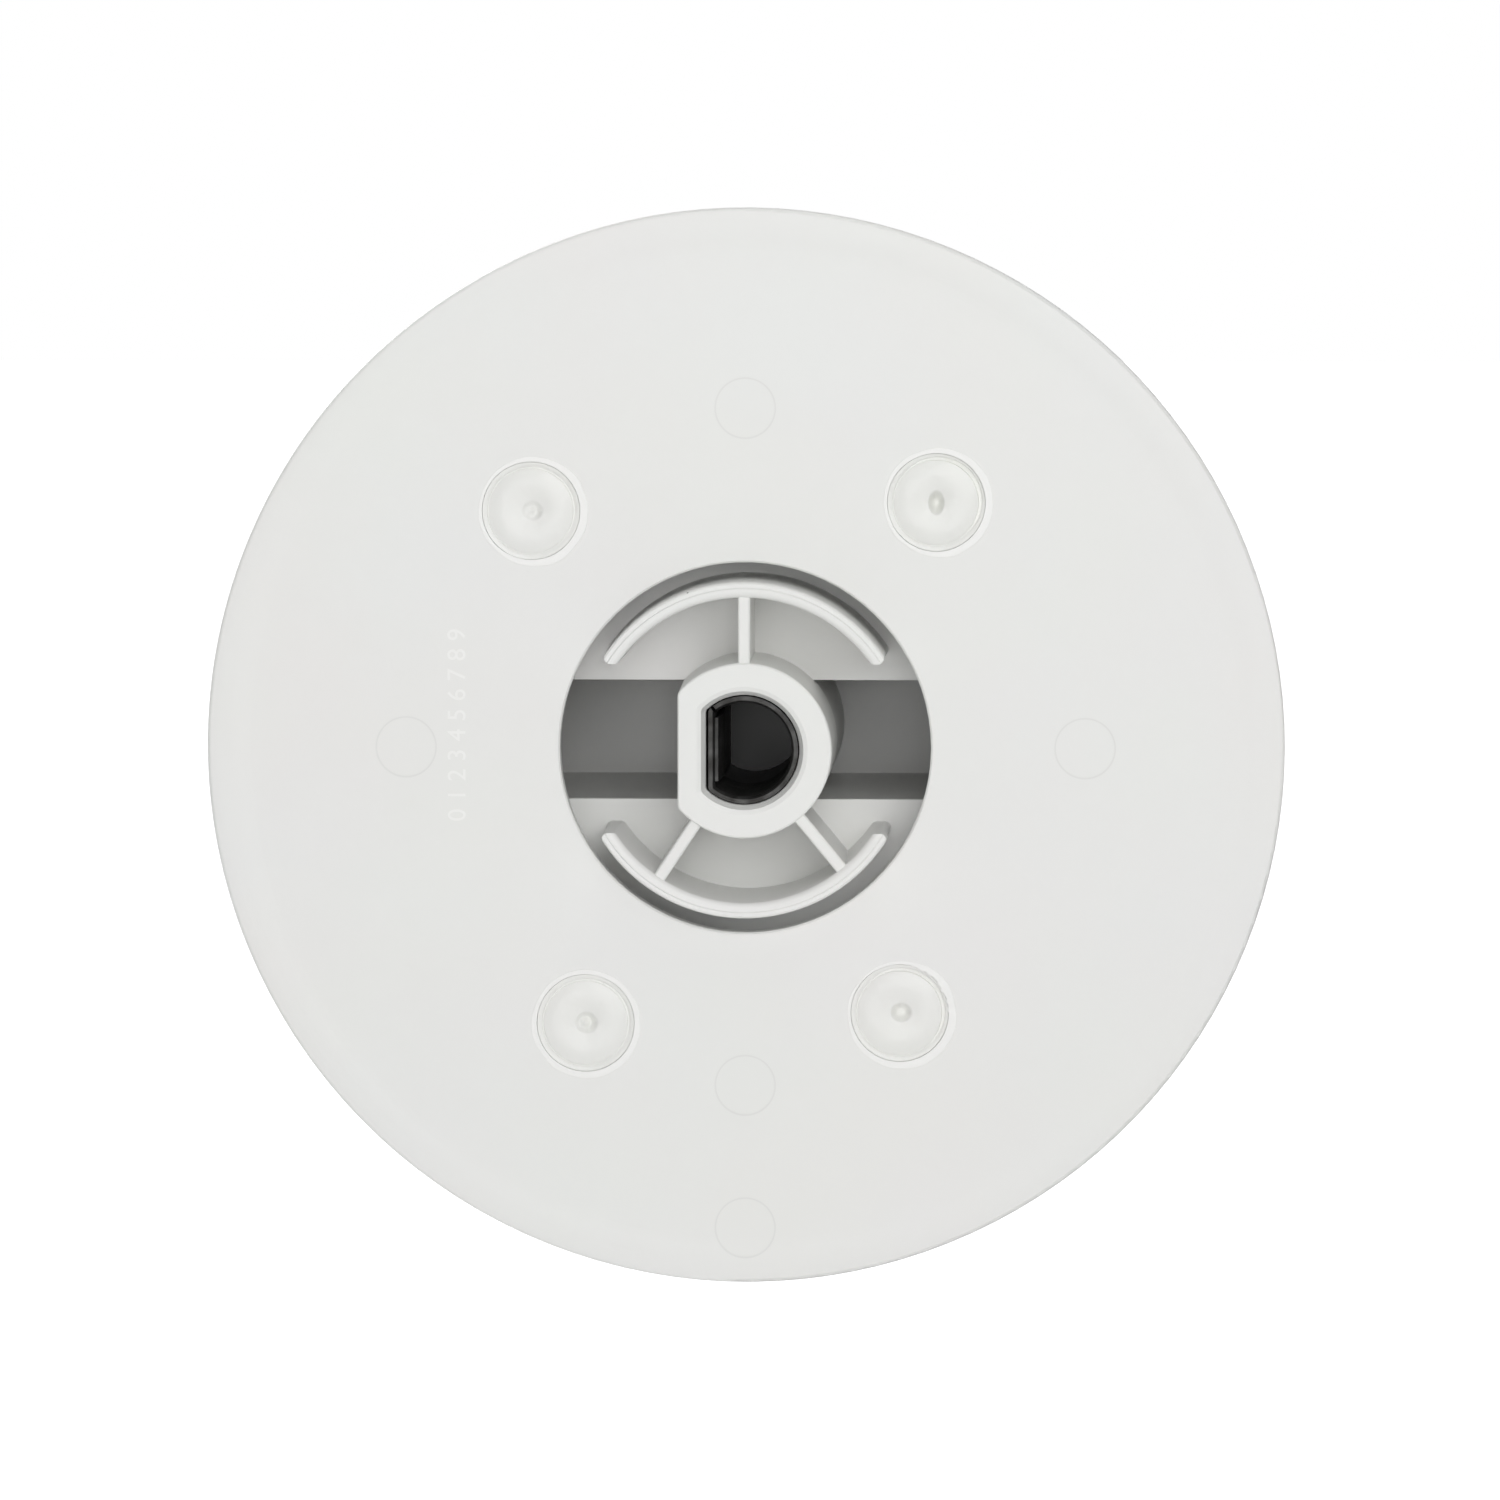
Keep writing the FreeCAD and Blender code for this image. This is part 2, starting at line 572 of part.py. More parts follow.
def pointer_shape(z0, z1):
    """The pointer's outline, a bar with round ends along +X, from z0 up to z1."""
    r = POINTER_W / 2
    a = Part.makeCylinder(r, z1 - z0, Vector(POINTER_FROM + r, 0, z0))
    b = Part.makeCylinder(r, z1 - z0, Vector(POINTER_TO - r, 0, z0))
    middle = Part.makeBox(POINTER_TO - POINTER_FROM - 2 * r, POINTER_W, z1 - z0)
    middle.translate(Vector(POINTER_FROM + r, -r, z0))
    return a.fuse([b, middle]).removeSplitter()


def knob_body():
    """The knob's single moulding: flange, hollow finger bar, D hub, collar arcs and ribs."""
    shell = flange().fuse(finger_bar()).cut(bar_hollow())
    body = shell.fuse([hub()] + collars() + ribs())
    groove = pointer_shape(BAR_TIP_Z - OVER, BAR_TIP_Z + POINTER_DEPTH)
    return body.cut(bore() + [groove]).removeSplitter()


def shaft_sleeve():
    """The spring-steel strip rolled to a D that lines the bore, with its slit at one corner."""
    outer = d_prism(SLEEVE_R, SLEEVE_FLAT, SLEEVE_CORNER, SLEEVE_FOOT_Z, SLEEVE_TOP_Z)
    flat = SLEEVE_FLAT - SLEEVE_WALL
    corner = SLEEVE_CORNER / 2
    inner = d_prism(SLEEVE_INNER_R, flat, corner, SLEEVE_FOOT_Z - OVER, SLEEVE_TOP_Z + OVER)
    lead = Part.makeLoft([
        d_outline(SLEEVE_INNER_R, flat, corner, SLEEVE_TOP_Z - 2 * SLEEVE_LEAD),
        d_outline(SLEEVE_INNER_R + SLEEVE_LEAD, flat + SLEEVE_LEAD, corner, SLEEVE_TOP_Z),
    ], True, True)
    slit = Part.makeBox(2 * OVER, SLEEVE_SLIT, SLEEVE_TOP_Z - SLEEVE_FOOT_Z + 2 * OVER)
    slit.translate(Vector(-OVER, -SLEEVE_SLIT / 2, SLEEVE_FOOT_Z - OVER))
    slit.rotate(ORIGIN, AXIS, SLEEVE_SLIT_AT)
    slit.translate(polar(SLEEVE_R - SLEEVE_WALL / 2, SLEEVE_SLIT_AT))
    return outer.cut([inner, lead, slit])


def leaf_spring():
    """The thin leaf between the sleeve's flat and the shaft's flat, bowed towards the shaft."""
    back = SLEEVE_WALL - SLEEVE_FLAT + LEAF_GAP
    mid_z = (LEAF_TOP_Z + LEAF_FOOT_Z) / 2

    def p(x, z):
        return Vector(x, -LEAF_HALF_W, z)

    edges = [
        arc(p(back, LEAF_FOOT_Z), p(back + LEAF_BOW, mid_z), p(back, LEAF_TOP_Z)),
        line(p(back, LEAF_TOP_Z), p(back + LEAF_T, LEAF_TOP_Z)),
        arc(p(back + LEAF_T, LEAF_TOP_Z), p(back + LEAF_T + LEAF_BOW, mid_z), p(back + LEAF_T, LEAF_FOOT_Z)),
        line(p(back + LEAF_T, LEAF_FOOT_Z), p(back, LEAF_FOOT_Z)),
    ]
    return Part.Face(Part.Wire(edges)).extrude(Vector(0, 2 * LEAF_HALF_W, 0))


def pointer_inlay():
    """The coloured pointer that fills the groove in the bar's front face."""
    return pointer_shape(BAR_TIP_Z - POINTER_PROUD, BAR_TIP_Z + POINTER_DEPTH)


# ---- Export ----

os.makedirs("parts", exist_ok=True)
print("shaft clearance", round(SLEEVE_INNER_R - SHAFT_R, 3))
leaf_face = SLEEVE_FLAT - SLEEVE_WALL - LEAF_GAP - LEAF_T - LEAF_BOW
print("leaf grips the shaft's flat by", round(SHAFT_FLAT - leaf_face, 3))
export("dial_back", dial_back())
export("dial_face", dial_face())
export("scale_marks", scale_marks())
export("knob_body", knob_body())
export("shaft_sleeve", shaft_sleeve())
export("leaf_spring", leaf_spring())
export("pointer_inlay", pointer_inlay())
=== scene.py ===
import math

import bmesh
import bpy
from mathutils import Matrix, Vector, noise


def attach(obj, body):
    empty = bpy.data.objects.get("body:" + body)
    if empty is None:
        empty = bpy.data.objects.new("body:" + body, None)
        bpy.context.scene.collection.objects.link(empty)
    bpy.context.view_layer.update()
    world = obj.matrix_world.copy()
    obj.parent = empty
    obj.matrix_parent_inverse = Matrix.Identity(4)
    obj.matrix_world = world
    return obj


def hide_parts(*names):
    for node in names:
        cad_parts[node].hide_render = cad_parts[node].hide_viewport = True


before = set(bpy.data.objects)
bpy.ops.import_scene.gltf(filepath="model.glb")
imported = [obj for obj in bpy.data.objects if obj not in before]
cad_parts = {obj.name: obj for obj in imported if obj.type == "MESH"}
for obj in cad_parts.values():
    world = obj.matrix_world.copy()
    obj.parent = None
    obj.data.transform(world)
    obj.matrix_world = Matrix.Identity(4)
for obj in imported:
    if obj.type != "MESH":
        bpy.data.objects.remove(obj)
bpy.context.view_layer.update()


# ---- Rear plate ----
# The round plate that meets the panel. It is injection-moulded in satin white ABS: a low rim, a central
# hole, four wells for the front shell's posts, faint ejector marks and a cavity number.

MM = 0.001
ABS_WHITE = (0.915, 0.917, 0.895)
ABS_ROUGHNESS = 0.36
ABS_IOR = 1.53
DUST_GREY = (0.35, 0.34, 0.32)


def node_group(name, inputs, outputs):
    """A new shader node group with the named input and output sockets."""
    group = bpy.data.node_groups.new(name, "ShaderNodeTree")
    for socket, kind in inputs:
        group.interface.new_socket(socket, in_out="INPUT", socket_type=kind)
    for socket, kind in outputs:
        group.interface.new_socket(socket, in_out="OUTPUT", socket_type=kind)
    return group, group.nodes.new, group.links.new


def build_moulded_skin():
    """The skin of a moulding: slow clouds of tone and gloss, and the tool's fine grain as a height."""
    colour, value = "NodeSocketColor", "NodeSocketFloat"
    group, add, link = node_group(
        "moulded_skin",
        [("Colour", colour), ("Roughness", value), ("Clouding", value)],
        [("Colour", colour), ("Roughness", value), ("Height", value)],
    )
    given = add("NodeGroupInput")
    out = add("NodeGroupOutput")
    place = add("ShaderNodeTexCoord")
    clouds = add("ShaderNodeTexNoise")
    clouds.inputs["Scale"].default_value = 55.0
    clouds.inputs["Detail"].default_value = 3.0
    link(place.outputs["Object"], clouds.inputs["Vector"])
    tone = add("ShaderNodeMix")
    tone.data_type = "RGBA"
    tone.blend_type = "MULTIPLY"
    link(given.outputs["Clouding"], tone.inputs["Factor"])
    link(given.outputs["Colour"], tone.inputs["A"])
    link(clouds.outputs["Color"], tone.inputs["B"])
    link(tone.outputs["Result"], out.inputs["Colour"])
    gloss = add("ShaderNodeMath")
    gloss.operation = "MULTIPLY_ADD"
    gloss.inputs[1].default_value = 0.1
    link(clouds.outputs["Fac"], gloss.inputs[0])
    link(given.outputs["Roughness"], gloss.inputs[2])
    link(gloss.outputs["Value"], out.inputs["Roughness"])
    grain = add("ShaderNodeTexNoise")
    grain.inputs["Scale"].default_value = 2600.0
    grain.inputs["Detail"].default_value = 3.0
    link(place.outputs["Object"], grain.inputs["Vector"])
    link(grain.outputs["Fac"], out.inputs["Height"])
    return group


def build_dust():
    """Rare small specks, as a mask: 1 on a speck, 0 elsewhere."""
    value = "NodeSocketFloat"
    group, add, link = node_group("dust", [("Density", value), ("Size", value)], [("Mask", value)])
    given = add("NodeGroupInput")
    out = add("NodeGroupOutput")
    place = add("ShaderNodeTexCoord")
    cells = add("ShaderNodeTexVoronoi")
    cells.inputs["Randomness"].default_value = 1.0
    link(place.outputs["Object"], cells.inputs["Vector"])
    link(given.outputs["Density"], cells.inputs["Scale"])
    speck = add("ShaderNodeMath")
    speck.operation = "LESS_THAN"
    link(cells.outputs["Distance"], speck.inputs[0])
    link(given.outputs["Size"], speck.inputs[1])
    chosen = add("ShaderNodeSeparateColor")
    link(cells.outputs["Color"], chosen.inputs["Color"])
    rare = add("ShaderNodeMath")
    rare.operation = "GREATER_THAN"
    rare.inputs[1].default_value = 0.9
    link(chosen.outputs["Red"], rare.inputs[0])
    both = add("ShaderNodeMath")
    both.operation = "MULTIPLY"
    link(speck.outputs["Value"], both.inputs[0])
    link(rare.outputs["Value"], both.inputs[1])
    link(both.outputs["Value"], out.inputs["Mask"])
    return group


moulded_skin = build_moulded_skin()
dust = build_dust()


def moulded_abs(name, colour, roughness, clouding=0.035, grain=0.06):
    """A moulded ABS finish: satin, faintly clouded, finely grained, with a little dust."""
    material = bpy.data.materials.new(name)
    material.use_nodes = True
    add = material.node_tree.nodes.new
    link = material.node_tree.links.new
    shader = material.node_tree.nodes["Principled BSDF"]
    shader.inputs["IOR"].default_value = ABS_IOR
    skin = add("ShaderNodeGroup")
    skin.node_tree = moulded_skin
    skin.inputs["Colour"].default_value = (*colour, 1)
    skin.inputs["Roughness"].default_value = roughness
    skin.inputs["Clouding"].default_value = clouding
    specks = add("ShaderNodeGroup")
    specks.node_tree = dust
    specks.inputs["Density"].default_value = 260.0
    specks.inputs["Size"].default_value = 0.022
    dusted = add("ShaderNodeMix")
    dusted.data_type = "RGBA"
    dusted.inputs["B"].default_value = (*DUST_GREY, 1)
    link(specks.outputs["Mask"], dusted.inputs["Factor"])
    link(skin.outputs["Colour"], dusted.inputs["A"])
    link(dusted.outputs["Result"], shader.inputs["Base Color"])
    link(skin.outputs["Roughness"], shader.inputs["Roughness"])
    bump = add("ShaderNodeBump")
    bump.inputs["Strength"].default_value = grain
    bump.inputs["Distance"].default_value = 0.0001
    link(skin.outputs["Height"], bump.inputs["Height"])
    link(bump.outputs["Normal"], shader.inputs["Normal"])
    return material


def finish_node(name, material):
    """Gives a carried-over CAD node its finish."""
    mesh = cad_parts[name].data
    mesh.materials.clear()
    mesh.materials.append(material)


PIN_R = 2.03 * MM
PIN_LINE = 0.10 * MM       # half the width of the line round a mark
PIN_DARKENING = 0.09
PIN_CENTRES = ((-23.0, 0.0), (0.0, 23.0), (23.0, 0.0), (0.0, -23.0), (0.0, -32.75))    # X and Z, mm


def build_witness_ring():
    """Adds the thin dark line round an ejector mark to the mask that is given."""
    value = "NodeSocketFloat"
    group, add, link = node_group(
        "witness_ring", [("Mask", value), ("Centre", "NodeSocketVector")], [("Mask", value)],
    )
    given = add("NodeGroupInput")
    out = add("NodeGroupOutput")
    place = add("ShaderNodeTexCoord")
    offset = add("ShaderNodeVectorMath")
    offset.operation = "SUBTRACT"
    link(place.outputs["Object"], offset.inputs[0])
    link(given.outputs["Centre"], offset.inputs[1])
    flatten = add("ShaderNodeVectorMath")
    flatten.operation = "MULTIPLY"
    flatten.inputs[1].default_value = (1, 0, 1)
    link(offset.outputs["Vector"], flatten.inputs[0])
    reach = add("ShaderNodeVectorMath")
    reach.operation = "LENGTH"
    link(flatten.outputs["Vector"], reach.inputs[0])
    aside = add("ShaderNodeMath")
    aside.operation = "SUBTRACT"
    aside.inputs[1].default_value = PIN_R
    link(reach.outputs["Value"], aside.inputs[0])
    away = add("ShaderNodeMath")
    away.operation = "ABSOLUTE"
    link(aside.outputs["Value"], away.inputs[0])
    line = add("ShaderNodeMapRange")
    line.interpolation_type = "SMOOTHSTEP"
    line.inputs["From Min"].default_value = PIN_LINE
    line.inputs["From Max"].default_value = 0.0
    link(away.outputs["Value"], line.inputs["Value"])
    either = add("ShaderNodeMath")
    either.operation = "MAXIMUM"
    link(given.outputs["Mask"], either.inputs[0])
    link(line.outputs["Result"], either.inputs[1])
    link(either.outputs["Value"], out.inputs["Mask"])
    return group


def add_witness_rings(material):
    """Draws the ejector marks' outlines on a finish."""
    ring = build_witness_ring()
    add = material.node_tree.nodes.new
    link = material.node_tree.links.new
    shader = material.node_tree.nodes["Principled BSDF"]
    rings_so_far = None
    for x, z in PIN_CENTRES:
        step = add("ShaderNodeGroup")
        step.node_tree = ring
        step.inputs["Centre"].default_value = (x * MM, 0, z * MM)
        if rings_so_far:
            link(rings_so_far, step.inputs["Mask"])
        rings_so_far = step.outputs["Mask"]
    lined = add("ShaderNodeMix")
    lined.data_type = "RGBA"
    lined.inputs["B"].default_value = (*[level * (1 - PIN_DARKENING) for level in ABS_WHITE], 1)
    link(rings_so_far, lined.inputs["Factor"])
    link(shader.inputs["Base Color"].links[0].from_socket, lined.inputs["A"])
    link(lined.outputs["Result"], shader.inputs["Base Color"])


plate_abs = moulded_abs("plate_abs", ABS_WHITE, ABS_ROUGHNESS)
add_witness_rings(plate_abs)
finish_node("dial_back", plate_abs)


# ---- Flash lips of the staking wells ----
# Where the hot staking tool pressed down, a low lip of whitened ABS was pushed up round each well and
# pressed flat. It is wider on one side than on the other, and one lip is torn along its inner edge.

POST_PLACES = ((21.07, 52.2), (21.61, 132.1), (21.68, 240.0), (20.85, 300.2))    # radius, angle
PLATE_REAR = -0.061        # height of the plate's flat rear face, mm
WELL_R = 3.32
LIP_W = 0.37
LIP_H = 0.055
LIP_ROOT = 0.2             # how deep the lip is sunk into the plate
LIP_FLAT = 0.75            # how flat its top is pressed
LIP_LEANS = ((0, 0.42), (-15, 0.50), (-60, 0.20), (-35, 0.58))    # side it leans to, how much
LIP_TORN = 3
LIP_TEAR = math.radians(38)    # the tear runs from the right up to twice this direction
LIP_STEPS = 8
LIP_TURNS = 160
WORKED_WHITE = (0.975, 0.975, 0.955)    # stress-whitened
BENCH_TO_ROW = Matrix.Rotation(math.pi, 4, Vector((0, 1, 1)).normalized())


def post_place(index):
    """The matrix that puts a mesh drawn round the Z axis, in mm, at a post's place in the row frame."""
    radius, angle = POST_PLACES[index]
    centre = Vector((radius * math.cos(math.radians(angle)), radius * math.sin(math.radians(angle)), 0))
    return BENCH_TO_ROW @ Matrix.Scale(MM, 4) @ Matrix.Translation(centre)


def lathe(bm, points, steps):
    """Spins the closed outline through the points (radius, height) round the Z axis."""
    verts = [bm.verts.new((r, 0, z)) for r, z in points]
    edges = [bm.edges.new(pair) for pair in zip(verts, verts[1:] + verts[:1])]
    bmesh.ops.spin(
        bm, geom=verts + edges, cent=(0, 0, 0), axis=(0, 0, 1), dvec=(0, 0, 0),
        angle=2 * math.pi, steps=steps, use_merge=True, use_duplicate=False,
    )


def finished_piece(name, bm, material, body, smooth_angle=35):
    """Makes a bmesh a named object with smooth shading, its finish and its body."""
    bmesh.ops.remove_doubles(bm, verts=bm.verts, dist=1e-7)
    bmesh.ops.recalc_face_normals(bm, faces=bm.faces)
    mesh = bpy.data.meshes.new(name)
    bm.to_mesh(mesh)
    bm.free()
    mesh.materials.append(material)
    mesh.shade_smooth()
    mesh.set_sharp_from_angle(angle=math.radians(smooth_angle))
    piece = bpy.data.objects.new(name, mesh)
    bpy.context.scene.collection.objects.link(piece)
    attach(piece, body)
    return piece


def wander(angle, seed, pace):
    """A smooth random value between about -1 and 1 that closes on itself round a circle."""
    return noise.noise(Vector((pace * math.cos(angle), pace * math.sin(angle), 7.3 * seed)))


worked_abs = moulded_abs("worked_abs", WORKED_WHITE, 0.30, clouding=0.02)
for index, (lean_to, lean) in enumerate(LIP_LEANS):
    bm = bmesh.new()
    section = [(WELL_R - 0.01, PLATE_REAR - LIP_ROOT)]
    for step in range(LIP_STEPS + 1):
        t = math.pi * (1 - step / LIP_STEPS)
        height = LIP_H * min(1, math.sin(t) / (1 - LIP_FLAT))
        section.append((WELL_R + LIP_W / 2 * (1 + math.cos(t)), PLATE_REAR + height))
    section.append((WELL_R + LIP_W, PLATE_REAR - LIP_ROOT))
    lathe(bm, section, LIP_TURNS)
    for vert in bm.verts:
        angle = math.atan2(vert.co.y, vert.co.x)
        r = vert.co.xy.length
        towards = math.cos(angle - math.radians(lean_to))
        width = 1 + lean * towards + 0.25 * wander(angle, index + 1, 2.2)
        height = 0.9 + 0.15 * wander(angle, index + 5, 3.0) + 0.05 * wander(angle, index + 9, 9.0)
        if index == LIP_TORN and abs(angle - LIP_TEAR) < LIP_TEAR:
            height += 0.8 * wander(angle, 22, 18.0) - 0.3
            if r < WELL_R + 0.3 * LIP_W:
                r -= 0.05 + 0.16 * wander(angle, 21, 14.0)
        new_r = WELL_R + (r - WELL_R) * width + 0.03 * wander(angle, index + 13, 1.6)
        vert.co.xy *= new_r / vert.co.xy.length
        if vert.co.z > PLATE_REAR:
            vert.co.z = PLATE_REAR + (vert.co.z - PLATE_REAR) * min(max(height, 0.15), 1)
    bmesh.ops.transform(bm, matrix=post_place(index), verts=bm.verts)
    finished_piece("stake_lip_%d" % (index + 1), bm, worked_abs, "dial", 60)


# ---- Mould figures ----
# A column of small raised counting figures, moulded with the plate. It stands for the marking that
# such a plate carries, and says nothing.

MOULD_FIGURES = "0 1 2 3 4 5 6 7 8 9"
MOULD_FIGURE_SIZE = 1.75
MOULD_FIGURE_H = 0.05
FIGURE_CURVE_STEPS = 6
MOULD_FIGURE_X = 19.5       # the column's centre, mm
MOULD_FIGURE_Z = 1.5


def letters(text, size, depth):
    """A mesh of the text, drawn round the origin in the XY plane, in the size's own units."""
    curve = bpy.data.curves.new("letters", "FONT")
    curve.body = text
    curve.size = size
    curve.align_x = "CENTER"
    curve.align_y = "CENTER"
    curve.extrude = depth
    curve.resolution_u = FIGURE_CURVE_STEPS
    holder = bpy.data.objects.new("letters", curve)
    mesh = bpy.data.meshes.new_from_object(holder)
    bpy.data.objects.remove(holder)
    bpy.data.curves.remove(curve)
    return mesh


figures = letters(MOULD_FIGURES, MOULD_FIGURE_SIZE, MOULD_FIGURE_H)
for vert in figures.vertices:
    across, up, out = vert.co
    vert.co = Vector((MOULD_FIGURE_X + up, PLATE_REAR + out, MOULD_FIGURE_Z + across)) * MM
bm = bmesh.new()
bm.from_mesh(figures)
bpy.data.meshes.remove(figures)
finished_piece("mould_figures", bm, worked_abs, "dial", 30)


# ---- Front shell ----
# The conical skirt that carries the scale, moulded in the same ABS. Four posts on its inside pass through
# the plate, and a hot tool with a ring-shaped face has melted their ends into rosette heads.

PLATE_T = 1.6
PLATE_FRONT = PLATE_REAR - PLATE_T
FACE_R = 36.3
FACE_SHOULDER = (35.9, -2.8)
FACE_LAND = (21.0, -6.8)
FACE_SLOPE = (FACE_SHOULDER[1] - FACE_LAND[1]) / (FACE_SHOULDER[0] - FACE_LAND[0])
FACE_HOLE_R = 13.2
FACE_WALL = 1.6
FACE_CONE_WALL = FACE_WALL * math.hypot(1, FACE_SLOPE)
FACE_RIM_INNER_R = FACE_SHOULDER[0] - (FACE_CONE_WALL - PLATE_FRONT + FACE_SHOULDER[1]) / FACE_SLOPE
FACE_TURNS = 192
FACE_EDGE = 0.15           # rounding of the shell's edges
BOSS_R = 2.4
POST_R = 1.3
MELTED_WHITE = (0.925, 0.928, 0.895)
HEAD_CREST_R = 1.85
HEAD_CREST = 0.02
HEAD_EDGE_R = 2.82
BOWL_DEPTH = 0.13
HEAD_FALL = 0.15           # from the crest to the head's edge
HEAD_FOOT = 1.3            # the head's underside, below the plate's rear face
HEAD_STEPS = 46
HEAD_TURNS = 144
SKIRT_R = 3.29             # melted plastic that ran out to the well's wall
SKIRT = ((2.87, -0.19), (2.93, -0.20), (3.00, -0.10), (3.12, -0.06), (SKIRT_R, -0.045))    # radius, height
GROOVE_R = 3.0             # the groove at the head's edge ends here
GROOVE_SIDE = math.radians(42)    # it is deepest on this side
HEADS = (                  # pit: across, up, half width, half height, depth; nub; groove; tilt side, tilt
    ((0.00, -0.02, 0.56, 0.86, 1.05), 0.00, 1.0, 30, 0.020),
    ((0.10, 0.02, 0.72, 0.70, 0.42), 0.36, 0.2, 10, 0.025),
    ((0.05, 0.02, 0.78, 0.78, 0.62), 0.58, 0.3, 200, 0.015),
    ((0.10, 0.04, 0.74, 0.68, 0.85), 0.16, 0.9, 60, 0.020),
)


def head_height(r):
    """Height of a rosette head at radius r, above the plate's flat rear face, before its pit."""
    if r < HEAD_CREST_R:
        return HEAD_CREST - BOWL_DEPTH * math.cos(r / HEAD_CREST_R * math.pi / 2) ** 1.5
    t = (r - HEAD_CREST_R) / (HEAD_EDGE_R - HEAD_CREST_R)
    return HEAD_CREST - HEAD_FALL * t ** 2


def bump(distance):
    """A smooth hill: 1 at distance 0, falling to 0 at distance 1 and beyond."""
    return (1 + math.cos(math.pi * min(distance, 1))) / 2


def melted_head(bm, index):
    """Adds one rosette head, uneven as melted plastic is, at its post's place."""
    (pit_x, pit_y, pit_a, pit_b, depth), nub, groove, tilt_to, tilt = HEADS[index]
    head = bmesh.new()
    radii = [HEAD_EDGE_R * step / HEAD_STEPS for step in range(HEAD_STEPS + 1)]
    outline = [(radius, head_height(radius)) for radius in radii]
    outline += [*SKIRT, (SKIRT_R, -HEAD_FOOT), (0.0, -HEAD_FOOT)]
    lathe(head, outline, HEAD_TURNS)
    bmesh.ops.remove_doubles(head, verts=head.verts, dist=1e-5)
    for vert in head.verts:
        x, y, z = vert.co
        if z < 0.01 - HEAD_FOOT:
            continue
        r = math.hypot(x, y)
        angle = math.atan2(y, x)
        groove_side = max(0.0, math.cos(angle - GROOVE_SIDE))
        lift = 0.024 * noise.noise(Vector((0.8 * x, 0.8 * y, index * 5.1)))
        lift += 0.010 * noise.noise(Vector((2.9 * x, 2.9 * y, index * 3.7)))
        lift += 0.004 * math.sin(5 * angle + 3.2 * r + index) * min(r / HEAD_CREST_R, 1)
        if r < HEAD_EDGE_R + 0.01:
            lift += tilt * r / HEAD_EDGE_R * math.cos(angle - math.radians(tilt_to))
            lift -= depth * bump(math.hypot((x - pit_x) / pit_a, (y - pit_y) / pit_b) ** 1.6)
            lift += nub * bump(math.hypot(x - pit_x + 0.14, y - pit_y + 0.05) / 0.52)
            lift -= 0.07 * bump(math.hypot(x - pit_x - 0.40, y - pit_y - 0.35) / 0.9)
        elif r < GROOVE_R:
            lift -= 0.20 * groove * groove_side
        else:
            lift -= 0.07 * (1 + math.cos(angle)) / 2
        if HEAD_EDGE_R + 0.1 < r < SKIRT_R - 0.01:
            spread = 1 + 0.085 * groove * groove_side * (SKIRT_R - r) / (SKIRT_R - HEAD_EDGE_R)
            vert.co.xy *= spread
        vert.co.z += lift
    bmesh.ops.translate(head, vec=(0, 0, PLATE_REAR), verts=head.verts)
    for face in head.faces:
        face.material_index = 1
    bmesh.ops.transform(head, matrix=post_place(index), verts=head.verts)
    part = bpy.data.meshes.new("head")
    head.to_mesh(part)
    head.free()
    bm.from_mesh(part)
    bpy.data.meshes.remove(part)


bm = bmesh.new()
lathe(bm, [
    (FACE_RIM_INNER_R, PLATE_FRONT),
    (FACE_R, PLATE_FRONT),
    (FACE_R, FACE_SHOULDER[1] + 0.4),
    FACE_SHOULDER,
    FACE_LAND,
    (FACE_HOLE_R, FACE_LAND[1]),
    (FACE_HOLE_R, FACE_LAND[1] + FACE_WALL),
    (FACE_LAND[0], FACE_LAND[1] + FACE_CONE_WALL),
], FACE_TURNS)
rings = [edge for edge in bm.edges if abs(edge.verts[0].co.z - edge.verts[1].co.z) < 1e-5
         and abs(edge.verts[0].co.xy.length - edge.verts[1].co.xy.length) < 1e-4]
bmesh.ops.bevel(
    bm, geom=rings, offset=FACE_EDGE, offset_type="OFFSET", segments=3, profile=0.5,
    affect="EDGES", material=-1, clamp_overlap=True,
)
bmesh.ops.transform(bm, matrix=BENCH_TO_ROW @ Matrix.Scale(MM, 4), verts=bm.verts)
boss_foot = FACE_LAND[1] + 0.7 * FACE_WALL
for index in range(len(POST_PLACES)):
    for radius, top in ((BOSS_R, PLATE_FRONT), (POST_R, PLATE_REAR - HEAD_FOOT + 0.02)):
        depth = top - boss_foot
        bmesh.ops.create_cone(
            bm, cap_ends=True, segments=40, radius1=radius, radius2=radius, depth=depth,
            matrix=post_place(index) @ Matrix.Translation((0, 0, boss_foot + depth / 2)),
        )
for index in range(len(POST_PLACES)):
    melted_head(bm, index)
shell_abs = moulded_abs("shell_abs", ABS_WHITE, 0.3)
melted_abs = moulded_abs("melted_abs", MELTED_WHITE, 0.28)
front_shell = finished_piece("front_shell", bm, shell_abs, "dial")
front_shell.data.materials.append(melted_abs)
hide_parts("dial_face")


# ---- Scale ----
# Sixty minute marks and their figures, pad-printed in dark grey ink on the cone.

INK = (0.030, 0.032, 0.036)
FIGURE_SIZE = 3.3
FIGURE_R = 28.6            # to the middle of a figure
FIGURE_T = 0.06
FIGURE_EVERY = 5
MINUTES = 60


